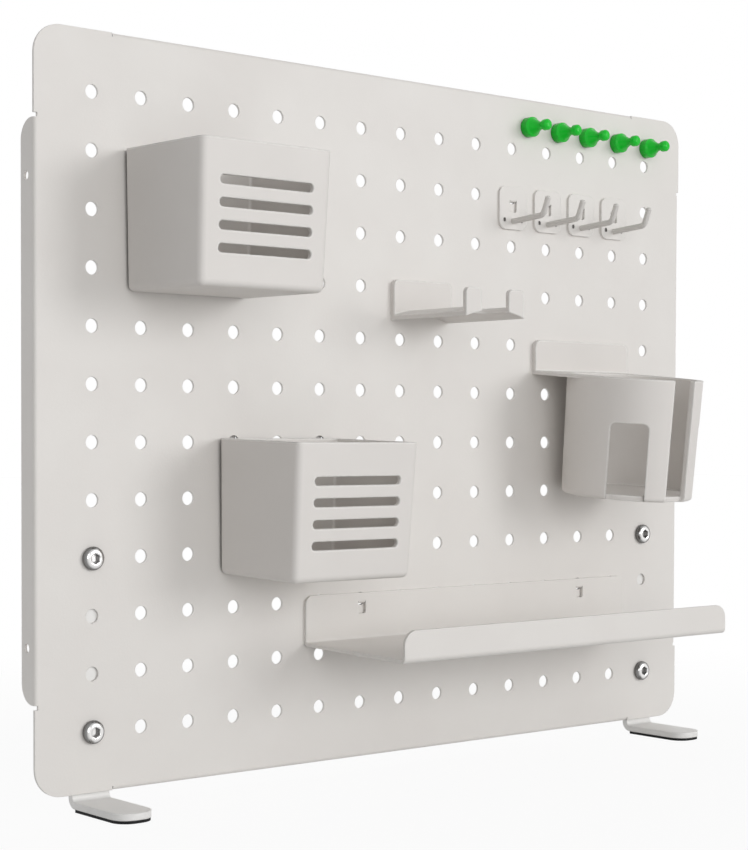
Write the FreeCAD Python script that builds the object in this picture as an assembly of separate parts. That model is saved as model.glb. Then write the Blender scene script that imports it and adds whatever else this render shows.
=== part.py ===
"""Perforated steel pegboard on two desk feet, with its hung and stuck-on accessories.

All lengths are millimetres. While a piece is being made, X runs to the right along the board, Y runs
away from the viewer and Z runs up, with Y = 0 on the front face of the sheet and Z = 0 at the middle
of the grid of peg holes. stand_on_desk() then moves everything so that Z = 0 is the desk and the
middle of the footprint is at X = Y = 0.
"""
import FreeCAD, Part
import math
import os

from FreeCAD import Vector

# Board: one folded sheet, its outline a margin round the grid of peg holes
SHEET = 1.2
HOLE_PITCH = 25.4
HOLE_DIAMETER = 6.35
HOLE_COLUMNS = 15
HOLE_ROWS = 12
SIDE_MARGIN = 28.7
TOP_MARGIN = 26.9
BOARD_CORNER = 13.0
RETURN_DEPTH = 11.0
RETURN_BEND = 0.5
RETURN_END_RADIUS = 9.0
SIDE_RETURN_SHORT = 40.6
RETURN_FOOT_GAP = 1.3
SIDE_NOTCH = 1.8
TOP_NOTCH = 0.4
LINK_HOLE_DIAMETER = 4.0
LINK_HOLE_DEPTH = 6.6
LINK_HOLE_ROWS_OUT = 4

# Desk feet: one bent bracket and one rubber pad on each side
FOOT_WIDTH = 19.0
FOOT_STEEL = 3.0
FOOT_BEND = 2.0
FOOT_REACH = 38.0
FOOT_TOE_RADIUS = 8.0
FOOT_LEG_CORNER = 6.0
FOOT_LEG_ABOVE_SCREW = 13.0
FOOT_DROP = 3.1
FOOT_EDGE = 0.7
PAD_THICKNESS = 1.4
PAD_INSET = 0.3
FOOT_UPPER_ROW = 8
FOOT_LOWER_ROW = 11

# Button-head screws and hex nuts
SCREW_DIAMETER = 6.0
SCREW_LENGTH = 10.0
SCREW_CHAMFER = 0.8
HEAD_DIAMETER = 10.5
HEAD_HEIGHT = 3.3
HEAD_LAND = 0.6
HEAD_SHOULDER_DIAMETER = 9.0
HEAD_SHOULDER_HEIGHT = 2.3
HEAD_FLAT_DIAMETER = 5.6
SOCKET_ACROSS = 4.0
SOCKET_DEPTH = 2.0
FOOT_HOLE_DIAMETER = 6.4
NUT_ACROSS = 10.0
NUT_HEIGHT = 5.0
THREAD_CLEARANCE = 0.05

# Moulded bins
BIN_WIDTH = 70.0
BIN_DEPTH = 59.7
BIN_HEIGHT = 62.4
BIN_WALL = 2.2
BIN_SIDE_DRAFT = 1.4
BIN_FRONT_DRAFT = 3.0
BIN_CORNER = 3.0
BIN_INNER_CORNER = 1.2
BIN_FOOT_RADIUS = 3.0
BIN_STANDOFF = 1.2
BIN_RIM_ABOVE_HOLE = 1.9
BIN_SLOT_LENGTH = 50.0
BIN_SLOT_HEIGHT = 4.0
BIN_SLOT_END_FLAT = 0.02
BIN_SLOT_PITCH = 9.6
BIN_SLOT_COUNT = 4
BIN_SLOT_BELOW_RIM = 17.2
BIN_STUB_ROWS_DOWN = 2
UPPER_BIN_COLUMN = 2
UPPER_BIN_ROW = 1
LOWER_BIN_COLUMN = 4
LOWER_BIN_ROW = 6
UPPER_BIN_LEAN = 0.5
UPPER_BIN_OUT = 0.0
LOWER_BIN_LEAN = 1.5
LOWER_BIN_OUT = 0.45

# Moulded pegs on the backs of bins, cup holder and headset rest
PEG_WIDTH = 3.6
PEG_HEIGHT = 3.6
PEG_FINGER = 3.0
PEG_RISE = 5.4
PEG_ELBOW = 1.6
PEG_TIP = 1.0
PEG_BEHIND_GAP = 0.6
PEG_SEAT_GAP = 0.08
SHOULDER_WIDTH = 9.0
SHOULDER_GAP = 0.1
STUB_HEIGHT = 3.2
STUB_PAST_SHEET = 2.0

# Arched rest for a headset
REST_WIDTH = 38.0
REST_REACH = 55.0
REST_WALL = 2.4
REST_PLATE = 3.0
REST_PLATE_ABOVE_HOLE = 4.0
REST_FOOT_BELOW_HOLE = 16.1
REST_RISE = 3.4
REST_TAB_WIDTH = 10.0
REST_TAB_TOP_BELOW_HOLE = 2.5
REST_TAB_CORNER = 2.5
REST_NOTCH_DEPTH = 20.0
REST_NOTCH_CORNER = 5.0
REST_PLATE_CORNER = 3.0
REST_COLUMN = 7.5
REST_ROW = 3

# Cup holder
CUP_TOP_DIAMETER = 70.6
CUP_BOTTOM_DIAMETER = 68.2
CUP_HEIGHT = 62.4
CUP_WALL = 2.8
CUP_FLOOR = 2.8
CUP_FLOOR_ROOT = 0.4
CUP_FOOT_RADIUS = 2.2
CUP_RIM = 2.0
CUP_PLATE = 3.0
CUP_PLATE_ABOVE_HOLE = 3.0
CUP_PLATE_BELOW_HOLE = 13.0
CUP_PLATE_CORNER = 4.0
CUP_AXIS_FROM_PLATE = 37.8
CUP_LEAN = 5.0
CUP_GAP_ANGLE = 24.5
CUP_WINDOW_ANGLE = 32.0
CUP_WINDOW_TURN = 49.2
CUP_WINDOW_BELOW_RIM = 22.8
CUP_WINDOW_CORNER = 3.0
CUP_COLUMN = 12
CUP_ROW = 4

# Folded tray
TRAY_SHEET = 1.6
TRAY_WIDTH = 221.6
TRAY_REACH = 73.5
TRAY_BACK_HEIGHT = 24.0
TRAY_LIP_HEIGHT = 15.0
TRAY_BEND = 1.0
TRAY_FALL = 1.6
TRAY_BACK_CORNER = 4.0
TRAY_LIP_CORNER = 7.0
TRAY_EDGE_ABOVE_HOLE = 2.9
TRAY_COLUMN = 9
TRAY_ROW = 9
TRAY_TANG_COLUMNS_OUT = 3

# Lanced tangs of the tray and the hook plates
TANG_WIDTH = 4.3
TANG_WINDOW = 6.6
TANG_SLIT = 0.35
TANG_CORNER = 1.0
TANG_BEND_PART = 0.8
TANG_SEAT_GAP = 0.08
TANG_BEHIND_GAP = 0.3

# Wire hooks on small plates
HOOK_SHEET = 1.3
HOOK_WIDTH = 19.4
HOOK_ABOVE_HOLE = 5.7
HOOK_BELOW_HOLE = 16.5
HOOK_CORNER = 4.2
HOOK_WIRE = 3.0
HOOK_WIRE_BELOW_HOLE = 12.2
HOOK_WIRE_REACH = 22.0
HOOK_WIRE_SLOPE = 4.0
HOOK_TIP_SLOPE = 68.0
HOOK_TIP_LENGTH = 9.9
HOOK_TIP_CHAMFER = 0.6
HOOK_WIRE_BEND = 3.5
HOOK_SPOT_DIAMETER = 2.2
HOOK_SPOT_OUT = 6.1
HOOK_SPOT_ABOVE_WIRE = 0.5
HOOK_COLUMNS = (10, 11, 12, 13)
HOOK_ROW = 1

# Push-pin magnets, stuck on by hand above the top row of holes
PIN_BASE_DIAMETER = 10.4
PIN_BASE_LENGTH = 5.0
PIN_BASE_CHAMFER = 0.8
PIN_NECK_DIAMETER = 4.5
PIN_NECK_AT = 9.6
PIN_KNOB_DIAMETER = 5.8
PIN_KNOB_AT = 13.6
PIN_TIP_DIAMETER = 3.4
PIN_LENGTH = 16.2
MAGNET_DIAMETER = 8.0
MAGNET_THICKNESS = 2.0
MAGNET_PROUD = 0.1
MAGNET_POCKET_GAP = 0.05
PINS_IN_FROM_SIDE = (119.0, 96.7, 75.3, 51.2, 27.5)
PINS_DOWN_FROM_TOP = (14.8, 15.4, 15.9, 16.4, 16.9)

# How far cutting tools run past what they cut
PAST = 1.0
FAR_PAST = 20.0

# Worked out from the sizes above
GRID_WIDTH = (HOLE_COLUMNS - 1) * HOLE_PITCH
GRID_HEIGHT = (HOLE_ROWS - 1) * HOLE_PITCH
HALF_WIDTH = GRID_WIDTH / 2 + SIDE_MARGIN
HALF_HEIGHT = GRID_HEIGHT / 2 + TOP_MARGIN
SIDE_RETURN_LENGTH = 2 * (HALF_HEIGHT - SIDE_RETURN_SHORT)
TOP_RETURN_LENGTH = GRID_WIDTH - FOOT_WIDTH - 2 * RETURN_FOOT_GAP
HOLE_RADIUS = HOLE_DIAMETER / 2
FOOT_TONGUE_TOP = -HALF_HEIGHT - FOOT_DROP
FOOT_TONGUE_UNDER = FOOT_TONGUE_TOP - FOOT_STEEL
DESK = FOOT_TONGUE_UNDER - PAD_THICKNESS

ORIGIN = Vector(0, 0, 0)
UP = Vector(0, 0, 1)
AWAY = Vector(0, 1, 0)
RIGHT = Vector(1, 0, 0)


def column_x(column):
    """X of a column of peg holes, counted from 0 at the left."""
    return (column - (HOLE_COLUMNS - 1) / 2) * HOLE_PITCH


def row_z(row):
    """Z of a row of peg holes, counted from 0 at the top."""
    return ((HOLE_ROWS - 1) / 2 - row) * HOLE_PITCH


def seat_depth(width):
    """How far under a peg hole's centre the two lower corners of a peg of this width touch its edge."""
    return math.sqrt(HOLE_RADIUS ** 2 - (width / 2) ** 2)


def box(x0, x1, y0, y1, z0, z1):
    """Box between two corners."""
    return Part.makeBox(x1 - x0, y1 - y0, z1 - z0, Vector(x0, y0, z0))


def turned(shape, centre, axis, degrees):
    """Copy of a shape turned about an axis through a point."""
    copy = shape.copy()
    copy.rotate(centre, axis, degrees)
    return copy


def moved(shape, x=0.0, y=0.0, z=0.0):
    """Copy of a shape moved by a step."""
    copy = shape.copy()
    copy.translate(Vector(x, y, z))
    return copy


def rounded_outline(corners, radii):
    """Closed wire through corner points, each rounded by its own radius."""
    edges = []
    count = len(corners)
    ends = []
    for index, (corner, radius) in enumerate(zip(corners, radii)):
        before = (corners[index - 1] - corner).normalize()
        after = (corners[(index + 1) % count] - corner).normalize()
        if radius <= 0:
            ends.append((corner, None, corner))
            continue
        half = before.getAngle(after) / 2
        cut = radius / math.tan(half)
        middle = (before + after).normalize()
        tip = corner + middle * (radius / math.sin(half) - radius)
        ends.append((corner + before * cut, tip, corner + after * cut))
    for index, (start, tip, end) in enumerate(ends):
        if tip is not None:
            edges.append(Part.Arc(start, tip, end).toShape())
        following = ends[(index + 1) % count][0]
        if (following - end).Length > 1e-7:
            edges.append(Part.LineSegment(end, following).toShape())
    return Part.Wire(edges)


def rectangle(x0, x1, z0, z1, y, radii):
    """Rounded upright rectangle at one Y; radii run lower left, lower right, upper right, upper left."""
    corners = [Vector(x0, y, z0), Vector(x1, y, z0), Vector(x1, y, z1), Vector(x0, y, z1)]
    return rounded_outline(corners, radii)


def plate(x0, x1, z0, z1, front, thickness, radii):
    """Upright plate with rounded corners, its front face at one Y."""
    return Part.Face(rectangle(x0, x1, z0, z1, front, radii)).extrude(AWAY * thickness)


def turned_solid(profile):
    """Solid turned about the Y axis from a closed half profile."""
    return Part.Face(Part.makePolygon(profile + profile[:1])).revolve(ORIGIN, AWAY, 360)


def edge_return(edge_at, length):
    """Bend and return flange along a straight edge on the +X side, centred on Z = 0."""
    outer = SHEET + RETURN_BEND
    tangent = edge_at - outer
    inner_face = edge_at - SHEET
    turn = math.cos(math.pi / 4)
    centre = Vector(tangent, outer, 0)
    start = -length / 2
    wire = Part.Wire([
        Part.Arc(Vector(tangent, 0, 0), centre + Vector(outer * turn, -outer * turn, 0),
                 Vector(edge_at, outer, 0)).toShape(),
        Part.LineSegment(Vector(edge_at, outer, 0), Vector(edge_at, RETURN_DEPTH, 0)).toShape(),
        Part.LineSegment(Vector(edge_at, RETURN_DEPTH, 0), Vector(inner_face, RETURN_DEPTH, 0)).toShape(),
        Part.LineSegment(Vector(inner_face, RETURN_DEPTH, 0), Vector(inner_face, outer, 0)).toShape(),
        Part.Arc(Vector(inner_face, outer, 0),
                 centre + Vector(RETURN_BEND * turn, -RETURN_BEND * turn, 0),
                 Vector(tangent, SHEET, 0)).toShape(),
        Part.LineSegment(Vector(tangent, SHEET, 0), Vector(tangent, 0, 0)).toShape(),
    ])
    wire.translate(UP * start)
    bent = Part.Face(wire).extrude(UP * length)
    low = Vector(edge_at - FAR_PAST, -FAR_PAST, start)
    corners = [low, low + UP * length,
               Vector(low.x, RETURN_DEPTH, -start), Vector(low.x, RETURN_DEPTH, start)]
    mask = Part.Face(rounded_outline(corners, [0, 0, RETURN_END_RADIUS, RETURN_END_RADIUS]))
    return bent.common(mask.extrude(RIGHT * 2 * FAR_PAST))


def edge_relief(edge_at, length, notch_width):
    """What a return flange and its two end notches take out of the flat sheet, on the +X side."""
    tangent = edge_at - SHEET - RETURN_BEND
    reach = edge_at + FAR_PAST
    end = length / 2
    strip = box(tangent, reach, -PAST, SHEET + PAST, -end, end)
    notch = box(tangent, reach, -PAST, SHEET + PAST, end, end + notch_width)
    return [strip, notch, notch.mirror(ORIGIN, UP)]


def board():
    """Perforated sheet with four return flanges, folded from one blank."""
    outline = rectangle(-HALF_WIDTH, HALF_WIDTH, -HALF_HEIGHT, HALF_HEIGHT, 0, [BOARD_CORNER] * 4)
    holes = []
    for column in range(HOLE_COLUMNS):
        for row in range(HOLE_ROWS):
            place = Vector(column_x(column), 0, row_z(row))
            holes.append(Part.Wire(Part.makeCircle(HOLE_RADIUS, place, AWAY)))
    sheet = Part.makeFace([outline] + holes, "Part::FaceMakerBullseye").extrude(AWAY * SHEET)
    side = (HALF_WIDTH, SIDE_RETURN_LENGTH, SIDE_NOTCH)
    top = (HALF_HEIGHT, TOP_RETURN_LENGTH, TOP_NOTCH)
    reliefs = []
    returns = []
    for (edge_at, length, notch_width), degrees in ((side, 0), (top, -90), (side, 180), (top, 90)):
        for relief in edge_relief(edge_at, length, notch_width):
            reliefs.append(turned(relief, ORIGIN, AWAY, degrees))
        returns.append(turned(edge_return(edge_at, length), ORIGIN, AWAY, degrees))
    folded = sheet.cut(reliefs).fuse(returns).removeSplitter()
    links = []
    for out in (-LINK_HOLE_ROWS_OUT, LINK_HOLE_ROWS_OUT):
        start = Vector(-HALF_WIDTH - PAST, LINK_HOLE_DEPTH, out * HOLE_PITCH)
        reach = 2 * (HALF_WIDTH + PAST)
        links.append(Part.makeCylinder(LINK_HOLE_DIAMETER / 2, reach, start, RIGHT))
    return folded.cut(links)


def foot_bracket(x):
    """Bent steel bracket: a leg behind the sheet and a tongue forward under it."""
    back = SHEET + FOOT_STEEL
    outer = FOOT_BEND + FOOT_STEEL
    top = row_z(FOOT_UPPER_ROW) + FOOT_LEG_ABOVE_SCREW
    left = x - FOOT_WIDTH / 2
    corners = [Vector(left, SHEET, top), Vector(left, SHEET, FOOT_TONGUE_TOP),
               Vector(left, -FOOT_REACH, FOOT_TONGUE_TOP), Vector(left, -FOOT_REACH, FOOT_TONGUE_UNDER),
               Vector(left, back, FOOT_TONGUE_UNDER), Vector(left, back, top)]
    profile = rounded_outline(corners, [0, FOOT_BEND, FOOT_EDGE, 0, outer, 0])
    bent = Part.Face(profile).extrude(RIGHT * FOOT_WIDTH)
    right = x + FOOT_WIDTH / 2
    far = back + PAST
    toe = rounded_outline(
        [Vector(left, far, DESK), Vector(right, far, DESK), Vector(right, -FOOT_REACH, DESK),
         Vector(left, -FOOT_REACH, DESK)], [0, 0, FOOT_TOE_RADIUS, FOOT_TOE_RADIUS])
    bent = bent.common(Part.Face(toe).extrude(UP * (top - DESK)))
    leg = plate(left, right, DESK - PAST, top, -FOOT_REACH - PAST, FOOT_REACH + back + 2 * PAST,
                [0, 0, FOOT_LEG_CORNER, FOOT_LEG_CORNER])
    bent = bent.common(leg)
    holes = [Part.makeCylinder(FOOT_HOLE_DIAMETER / 2, back + PAST, Vector(x, 0, row_z(row)), AWAY)
             for row in (FOOT_UPPER_ROW, FOOT_LOWER_ROW)]
    return bent.cut(holes)


def foot_pad(x):
    """Rubber pad glued under the flat of a foot's tongue."""
    half = FOOT_WIDTH / 2 - PAD_INSET
    front = -FOOT_REACH + PAD_INSET
    rear = SHEET - FOOT_BEND
    radius = FOOT_TOE_RADIUS - PAD_INSET
    outline = rounded_outline(
        [Vector(x - half, rear, DESK), Vector(x + half, rear, DESK), Vector(x + half, front, DESK),
         Vector(x - half, front, DESK)], [0, 0, radius, radius])
    return Part.Face(outline).extrude(UP * PAD_THICKNESS)


def hexagon(across, centre, length):
    """Hexagonal prism along +Y with its flats at the sides, from a centre point."""
    radius = across / math.sqrt(3)
    corners = [centre + Vector(radius * math.cos(math.radians(60 * n + 30)), 0,
                               radius * math.sin(math.radians(60 * n + 30))) for n in range(6)]
    return Part.Face(Part.makePolygon(corners + corners[:1])).extrude(AWAY * length)


def screw(x, z):
    """Button-head screw with a hex socket, its head seated on the sheet."""
    shank = SCREW_DIAMETER / 2
    head = HEAD_DIAMETER / 2
    profile = [Vector(0, -HEAD_HEIGHT, 0), Vector(0, SCREW_LENGTH, 0),
               Vector(shank - SCREW_CHAMFER, SCREW_LENGTH, 0),
               Vector(shank, SCREW_LENGTH - SCREW_CHAMFER, 0), Vector(shank, 0, 0), Vector(head, 0, 0),
               Vector(head, -HEAD_LAND, 0), Vector(HEAD_SHOULDER_DIAMETER / 2, -HEAD_SHOULDER_HEIGHT, 0),
               Vector(HEAD_FLAT_DIAMETER / 2, -HEAD_HEIGHT, 0)]
    solid = turned_solid(profile)
    socket = hexagon(SOCKET_ACROSS, Vector(0, -HEAD_HEIGHT - PAST, 0), SOCKET_DEPTH + PAST)
    return moved(solid.cut(socket), x, 0, z)


def nut(x, z):
    """Hex nut against the back of a foot's leg."""
    seat = SHEET + FOOT_STEEL
    blank = hexagon(NUT_ACROSS, Vector(x, seat, z), NUT_HEIGHT)
    bore = Part.makeCylinder(SCREW_DIAMETER / 2 + THREAD_CLEARANCE, NUT_HEIGHT + 2 * PAST,
                             Vector(x, seat - PAST, z), AWAY)
    return blank.cut(bore)


def peg(x, z, root):
    """Moulded peg from a piece's back at Y = root, through the sheet and up behind it."""
    left = x - PEG_WIDTH / 2
    low = z - seat_depth(PEG_WIDTH) + PEG_SEAT_GAP
    near = SHEET + PEG_BEHIND_GAP
    far = near + PEG_FINGER
    high = low + PEG_HEIGHT + PEG_RISE
    corners = [Vector(left, root, low), Vector(left, far, low), Vector(left, far, high),
               Vector(left, near, high), Vector(left, near, low + PEG_HEIGHT),
               Vector(left, root, low + PEG_HEIGHT)]
    profile = rounded_outline(corners, [0, PEG_ELBOW, PEG_TIP, PEG_TIP, 0, 0])
    return Part.Face(profile).extrude(RIGHT * PEG_WIDTH)


def shoulder(x, z, root):
    """Block round the foot of a peg that spaces a piece's back off the sheet."""
    return box(x - SHOULDER_WIDTH / 2, x + SHOULDER_WIDTH / 2, root, -SHOULDER_GAP,
               z - PEG_HEIGHT / 2, z + PEG_HEIGHT / 2)


def stub(x, z, root):
    """Straight locating stub from a piece's back into a peg hole."""
    return box(x - PEG_WIDTH / 2, x + PEG_WIDTH / 2, root, SHEET + STUB_PAST_SHEET,
               z - STUB_HEIGHT / 2, z + STUB_HEIGHT / 2)


def bin_block(inset, low, high, radius):
    """Tapered block with rounded upright edges: a bin's outside, or its hollow when inset."""
    def half_width(height):
        return BIN_WIDTH / 2 - inset - BIN_SIDE_DRAFT * (1 - height / BIN_HEIGHT)

    def reach(height):
        return BIN_STANDOFF + BIN_DEPTH - inset - BIN_FRONT_DRAFT * (1 - height / BIN_HEIGHT)

    near = BIN_STANDOFF + inset
    block = Part.makeWedge(-half_width(low), low, near, near, -half_width(high),
                           half_width(low), high, reach(low), reach(high), half_width(high))
    block.rotate(ORIGIN, RIGHT, 90)
    upright = [edge for edge in block.Edges if edge.BoundBox.ZLength > BIN_HEIGHT / 2]
    return block.makeFillet(radius, upright)


def moulded_bin(column, row, lean, out):
    """Open tapered bin with four slots in its front, hung by two pegs and steadied by two stubs.

    Its pegs have play behind the sheet, so it leans and stands out a little.
    """
    outer = bin_block(0, 0, BIN_HEIGHT, BIN_CORNER)
    foot_edges = [edge for edge in outer.Edges if edge.BoundBox.ZMax < 1e-6]
    outer = outer.makeFillet(BIN_FOOT_RADIUS, foot_edges)
    inner = bin_block(BIN_WALL, BIN_WALL, BIN_HEIGHT + PAST, BIN_INNER_CORNER)
    half_slot = BIN_SLOT_LENGTH / 2
    slot_end = (BIN_SLOT_HEIGHT - BIN_SLOT_END_FLAT) / 2
    front = -BIN_STANDOFF - BIN_DEPTH
    slots = []
    for number in range(BIN_SLOT_COUNT):
        middle = BIN_HEIGHT - BIN_SLOT_BELOW_RIM - number * BIN_SLOT_PITCH
        slots.append(plate(-half_slot, half_slot, middle - BIN_SLOT_HEIGHT / 2,
                           middle + BIN_SLOT_HEIGHT / 2, front - PAST,
                           2 * BIN_WALL + BIN_FRONT_DRAFT + PAST, [slot_end] * 4))
    shell = moved(outer.cut([inner] + slots), z=BIN_RIM_ABOVE_HOLE - BIN_HEIGHT)
    root = -BIN_STANDOFF - BIN_WALL / 2
    steady = -BIN_STUB_ROWS_DOWN * HOLE_PITCH
    hangers = []
    for side in (-HOLE_PITCH, HOLE_PITCH):
        hangers.append(peg(side, 0, root))
        hangers.append(shoulder(side, 0, root))
        hangers.append(stub(side, steady, root))
    whole = shell.fuse(hangers).removeSplitter()
    whole = turned(whole, ORIGIN, RIGHT, lean)
    return moved(whole, column_x(column), -out, row_z(row))


def headset_rest():
    """Arched saddle on a back plate, with a notch and two upturned tabs at its front."""
    half = REST_WIDTH / 2
    foot = -REST_FOOT_BELOW_HOLE
    radius = (half ** 2 + REST_RISE ** 2) / (2 * REST_RISE)
    centre = Vector(0, 0, foot + REST_RISE - radius)
    under = Part.makeCylinder(radius, REST_REACH + 2 * FAR_PAST,
                              centre + Vector(0, -REST_REACH - FAR_PAST, 0), AWAY)
    over = Part.makeCylinder(radius + REST_WALL, REST_REACH, centre - AWAY * REST_REACH, AWAY)
    block = box(-half, half, -REST_REACH, 0, foot, foot + REST_RISE + REST_WALL + PAST)
    saddle = over.common(block)
    back = plate(-half, half, foot, REST_PLATE_ABOVE_HOLE, -REST_PLATE, REST_PLATE,
                 [0, 0, REST_PLATE_CORNER, REST_PLATE_CORNER])
    tab_top = -REST_TAB_TOP_BELOW_HOLE
    tabs = [plate(x0, x0 + REST_TAB_WIDTH, foot, tab_top, -REST_REACH, REST_WALL,
                  [0, 0, REST_TAB_CORNER, REST_TAB_CORNER])
            for x0 in (-half, half - REST_TAB_WIDTH)]
    notch_half = half - REST_TAB_WIDTH
    notch_top = foot + REST_RISE + REST_WALL + 2 * PAST
    notch = Part.Face(rounded_outline(
        [Vector(-notch_half, -REST_REACH - PAST, foot), Vector(notch_half, -REST_REACH - PAST, foot),
         Vector(notch_half, REST_NOTCH_DEPTH - REST_REACH, foot),
         Vector(-notch_half, REST_NOTCH_DEPTH - REST_REACH, foot)],
        [0, 0, REST_NOTCH_CORNER, REST_NOTCH_CORNER])).extrude(UP * (notch_top - foot))
    body = saddle.fuse([back] + tabs).cut([under, notch])
    pegs = [peg(side, 0, -REST_PLATE / 2) for side in (-HOLE_PITCH / 2, HOLE_PITCH / 2)]
    whole = body.fuse(pegs).removeSplitter()
    return moved(whole, column_x(REST_COLUMN), 0, row_z(REST_ROW))


def wedge(turn, angle, z0, z1, reach):
    """Upright sector about Z that opens towards -Y, turned about Z."""
    half = math.radians(angle / 2)
    far = reach / math.cos(half)
    tips = [Vector(0, 0, z0), Vector(far * math.sin(-half), -reach, z0),
            Vector(far * math.sin(half), -reach, z0)]
    sector = Part.Face(Part.makePolygon(tips + tips[:1])).extrude(UP * (z1 - z0))
    return turned(sector, ORIGIN, UP, turn)


def cup_window(turn):
    """Cutter for a window in the cup's wall, open at the bottom, with rounded upper corners."""
    radius = CUP_TOP_DIAMETER / 2
    half = radius * math.sin(math.radians(CUP_WINDOW_ANGLE / 2))
    cutter = plate(-half, half, -CUP_HEIGHT - PAST, -CUP_WINDOW_BELOW_RIM, -radius - PAST,
                   radius / 2 + PAST, [0, 0, CUP_WINDOW_CORNER, CUP_WINDOW_CORNER])
    return turned(cutter, ORIGIN, UP, turn)


def cup_holder():
    """Round holder with a front gap for a handle, two windows, a rim web and a back plate."""
    top = CUP_TOP_DIAMETER / 2
    bottom = CUP_BOTTOM_DIAMETER / 2
    down = Vector(0, 0, -1)
    cone = Part.makeCone(top, bottom, CUP_HEIGHT, ORIGIN, down)
    rims = [edge for edge in cone.Edges if edge.BoundBox.ZMax < -CUP_HEIGHT / 2]
    outside = cone.makeFillet(CUP_FOOT_RADIUS, rims)
    inside = Part.makeCone(top - CUP_WALL, bottom - CUP_WALL, CUP_HEIGHT, ORIGIN, down)
    floor = Part.makeCone(bottom - CUP_WALL + CUP_FLOOR_ROOT, bottom - CUP_WALL, CUP_FLOOR,
                          Vector(0, 0, CUP_FLOOR - CUP_HEIGHT), down)
    web = box(-top, top, 0, CUP_AXIS_FROM_PLATE + CUP_PLATE / 2, -CUP_RIM, 0)
    gap = wedge(0, CUP_GAP_ANGLE, -CUP_HEIGHT - PAST, CUP_RIM, top + FAR_PAST)
    windows = [cup_window(turn) for turn in (-CUP_WINDOW_TURN, CUP_WINDOW_TURN)]
    body = outside.fuse(web).cut([inside, gap] + windows).fuse(floor)
    rim_at = -CUP_PLATE_BELOW_HOLE
    body = moved(body, 0, -CUP_PLATE - CUP_AXIS_FROM_PLATE, rim_at)
    body = turned(body, Vector(0, -CUP_PLATE, rim_at), RIGHT, CUP_LEAN)
    back = plate(-top, top, rim_at - CUP_RIM, CUP_PLATE_ABOVE_HOLE, -CUP_PLATE, CUP_PLATE,
                 [0, 0, CUP_PLATE_CORNER, CUP_PLATE_CORNER])
    pegs = [peg(side, 0, -CUP_PLATE / 2) for side in (-HOLE_PITCH, HOLE_PITCH)]
    whole = back.fuse([body] + pegs).removeSplitter()
    return moved(whole, column_x(CUP_COLUMN), 0, row_z(CUP_ROW))


def lance(blank, sheet, x, hole_z):
    """Punch a tang out of an upright plate and bend it back through a hole and up behind the board."""
    under = hole_z - seat_depth(TANG_WIDTH) + TANG_SEAT_GAP
    top = under + sheet
    half = TANG_WIDTH / 2
    window = plate(x - half - TANG_SLIT, x + half + TANG_SLIT, top - TANG_WINDOW, top, -sheet - PAST,
                   sheet + 2 * PAST, [TANG_CORNER] * 4)
    near = SHEET + TANG_BEHIND_GAP
    far = near + sheet
    rise = TANG_WINDOW - far
    left = x - half
    corners = [Vector(left, -sheet, top), Vector(left, -sheet, under), Vector(left, far, under),
               Vector(left, far, top + rise), Vector(left, near, top + rise), Vector(left, near, top)]
    bend = TANG_BEND_PART * sheet
    profile = rounded_outline(corners, [0, bend, bend, 0, 0, 0])
    return blank.cut(window).fuse(Part.Face(profile).extrude(RIGHT * TANG_WIDTH))


def tray():
    """Shelf folded from one sheet: a back with two lanced tangs, a floor and a front lip."""
    outer = TRAY_BEND + TRAY_SHEET
    left = -TRAY_WIDTH / 2
    top = TRAY_EDGE_ABOVE_HOLE
    under = top - TRAY_BACK_HEIGHT
    fall = math.tan(math.radians(TRAY_FALL)) * TRAY_REACH
    front_under = under - fall
    lip_top = front_under + TRAY_LIP_HEIGHT
    corners = [Vector(left, 0, top), Vector(left, 0, under), Vector(left, -TRAY_REACH, front_under),
               Vector(left, -TRAY_REACH, lip_top), Vector(left, TRAY_SHEET - TRAY_REACH, lip_top),
               Vector(left, TRAY_SHEET - TRAY_REACH, front_under + TRAY_SHEET),
               Vector(left, -TRAY_SHEET, under + TRAY_SHEET), Vector(left, -TRAY_SHEET, top)]
    profile = rounded_outline(corners, [0, outer, outer, 0, 0, TRAY_BEND, TRAY_BEND, 0])
    folded = Part.Face(profile).extrude(RIGHT * TRAY_WIDTH)
    back_mask = plate(left, -left, front_under - PAST, top, -TRAY_REACH / 2, TRAY_REACH / 2 + PAST,
                      [0, 0, TRAY_BACK_CORNER, TRAY_BACK_CORNER])
    lip_mask = plate(left, -left, front_under - PAST, lip_top, -TRAY_REACH - PAST,
                     TRAY_REACH / 2 + PAST, [0, 0, TRAY_LIP_CORNER, TRAY_LIP_CORNER])
    folded = folded.common(back_mask.fuse(lip_mask))
    for side in (-TRAY_TANG_COLUMNS_OUT, TRAY_TANG_COLUMNS_OUT):
        folded = lance(folded, TRAY_SHEET, side * HOLE_PITCH, 0)
    return moved(folded.removeSplitter(), column_x(TRAY_COLUMN), 0, row_z(TRAY_ROW))


def hook_plate(column):
    """Small plate of a wire hook, with a lanced tang and two weld spots punched through."""
    half = HOOK_WIDTH / 2
    blank = plate(-half, half, -HOOK_BELOW_HOLE, HOOK_ABOVE_HOLE, -HOOK_SHEET, HOOK_SHEET,
                  [HOOK_CORNER] * 4)
    spot_z = HOOK_SPOT_ABOVE_WIRE - HOOK_WIRE_BELOW_HOLE
    spots = [Part.makeCylinder(HOOK_SPOT_DIAMETER / 2, HOOK_SHEET + 2 * PAST,
                               Vector(side * HOOK_SPOT_OUT, -HOOK_SHEET - PAST, spot_z), AWAY)
             for side in (-1, 1)]
    lanced = lance(blank.cut(spots), HOOK_SHEET, 0, 0).removeSplitter()
    return moved(lanced, column_x(column), 0, row_z(HOOK_ROW))


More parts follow.
